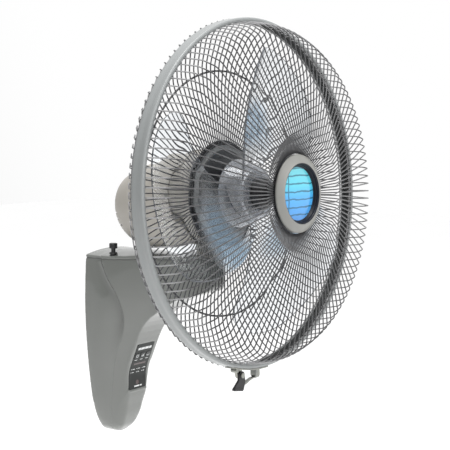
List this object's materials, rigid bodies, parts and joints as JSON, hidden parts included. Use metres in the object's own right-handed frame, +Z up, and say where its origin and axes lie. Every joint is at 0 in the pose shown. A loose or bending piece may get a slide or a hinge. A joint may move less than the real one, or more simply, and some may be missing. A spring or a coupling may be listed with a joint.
{
  "type": "wall mounted fan",
  "caption": "Wall bracket fan: wire guard with clear petal blades, tilting and swinging head on a tapered bracket with a key panel.",
  "frame": {"origin": "centre of the four wall screws, on the wall plane", "axes": "+Z up, -Y out of the wall in the direction the fan blows, +X to the right seen from the front"},
  "size_m": [0.4546, 0.3401, 0.5826],
  "materials": {
    "housing_grey": "satin painted plastic",
    "guard_steel": "dark grey coated wire",
    "band_grey": "satin grey",
    "motor_grey": "satin grey",
    "black_plastic": "fine grain",
    "panel_black": "satin black label",
    "key_grey": "satin",
    "lamp_smoke": "smoked lens",
    "board_green": "solder mask",
    "part_black": "moulded",
    "core_steel": "laminated",
    "steel": "bright",
    "zinc": "zinc plated",
    "copper": "enamelled wire",
    "cast_alu": "die cast",
    "nylon": "natural",
    "rubber_black": "matte",
    "blade_clear": "transparent, faint blue",
    "emblem_grey": "satin light grey",
    "emblem_blue": "glossy blue"
  },
  "bodies": {
    "bracket": {"wall_plate": "zinc", "rear_housing": "housing_grey", "front_housing": "housing_grey", "housing_screws": "zinc", "control_panel": "panel_black", "lamp_strip": "lamp_smoke", "receiver_window": "lamp_smoke", "control_board": "board_green", "key_switches": "part_black", "power_board": "board_green", "transformer": "part_black", "terminal_block": "nylon", "cord_grommet": "rubber_black", "plunger_bush": "black_plastic", "plunger_spring": "steel", "swing_motor": "steel", "swing_motor_screws": "zinc", "neck_bush": "nylon"},
    "neck": {"neck": "motor_grey", "swing_gear": "nylon", "neck_screw": "zinc", "tilt_bolt": "zinc", "tilt_nut": "zinc"},
    "head": {"motor_front_bracket": "motor_grey", "motor_rear_bracket": "cast_alu", "stator_core": "core_steel", "stator_windings": "copper", "front_bearing": "steel", "rear_bearing": "steel", "motor_capacitor": "part_black", "motor_cover": "motor_grey", "cover_screws": "zinc", "rear_guard_plate": "guard_steel", "guard_nut": "black_plastic", "rear_guard_wires": "guard_steel", "rear_support_ring": "guard_steel", "rear_border_ring": "guard_steel", "guard_band": "band_grey", "front_guard_wires": "guard_steel", "front_border_ring": "guard_steel", "emblem_base": "black_plastic", "emblem_ring": "emblem_grey", "emblem_lens": "emblem_blue", "clip_bracket": "zinc", "clip_pin": "zinc"},
    "rotor": {"shaft": "steel", "rotor_core": "core_steel", "drive_pin": "steel", "fan_blades": "blade_clear", "blade_nut": "black_plastic"},
    "guard_clip": {"clip_lever": "black_plastic", "clip_link": "zinc"},
    "pinion": {"swing_pinion": "nylon"},
    "release": {"release_knob": "black_plastic"},
    "power_key": {"power_button": "key_grey"},
    "speed_key": {"speed_button": "key_grey"},
    "swing_key": {"swing_button": "key_grey"}
  },
  "joints": [
    {"name": "swing", "type": "hinge", "parent": "bracket", "child": "neck", "pos_m": [0, -0.183, 0.12], "axis": [0, 0, 1], "range_deg": [-40, 40]},
    {"name": "tilt", "type": "hinge", "parent": "neck", "child": "head", "pos_m": [0, -0.183, 0.136], "axis": [1, 0, 0], "range_deg": [0, 10]},
    {"name": "blade_spin", "type": "hinge", "parent": "head", "child": "rotor", "pos_m": [0, -0.262, 0.21], "axis": [0, -0.9992, 0.0401], "continuous": true},
    {"name": "clip_turn", "type": "hinge", "parent": "head", "child": "guard_clip", "pos_m": [-0.041, -0.27125, -0.02031], "axis": [0, -0.9992, 0.0401], "range_deg": [-60, 0]},
    {"name": "pinion_spin", "type": "hinge", "parent": "bracket", "child": "pinion", "pos_m": [0, -0.1638, 0.1], "axis": [0, 0, 1], "range_deg": [-121, 121]},
    {"name": "release_press", "type": "slide", "parent": "bracket", "child": "release", "axis": [0, 0, -1], "range_m": [0, 0.004], "stiffness_N_per_m": 500, "deforming": ["plunger_spring"]},
    {"name": "power_press", "type": "slide", "parent": "bracket", "child": "power_key", "axis": [0, 0.9152, 0.4031], "range_m": [0, 0.001], "stiffness_N_per_m": 300},
    {"name": "speed_press", "type": "slide", "parent": "bracket", "child": "speed_key", "axis": [0, 0.9152, 0.4031], "range_m": [0, 0.001], "stiffness_N_per_m": 300},
    {"name": "swing_press", "type": "slide", "parent": "bracket", "child": "swing_key", "axis": [0, 0.9152, 0.4031], "range_m": [0, 0.001], "stiffness_N_per_m": 300}
  ],
  "couplings": [
    {"joint": "pinion_spin", "follows": "swing", "ratio": -3}
  ]
}
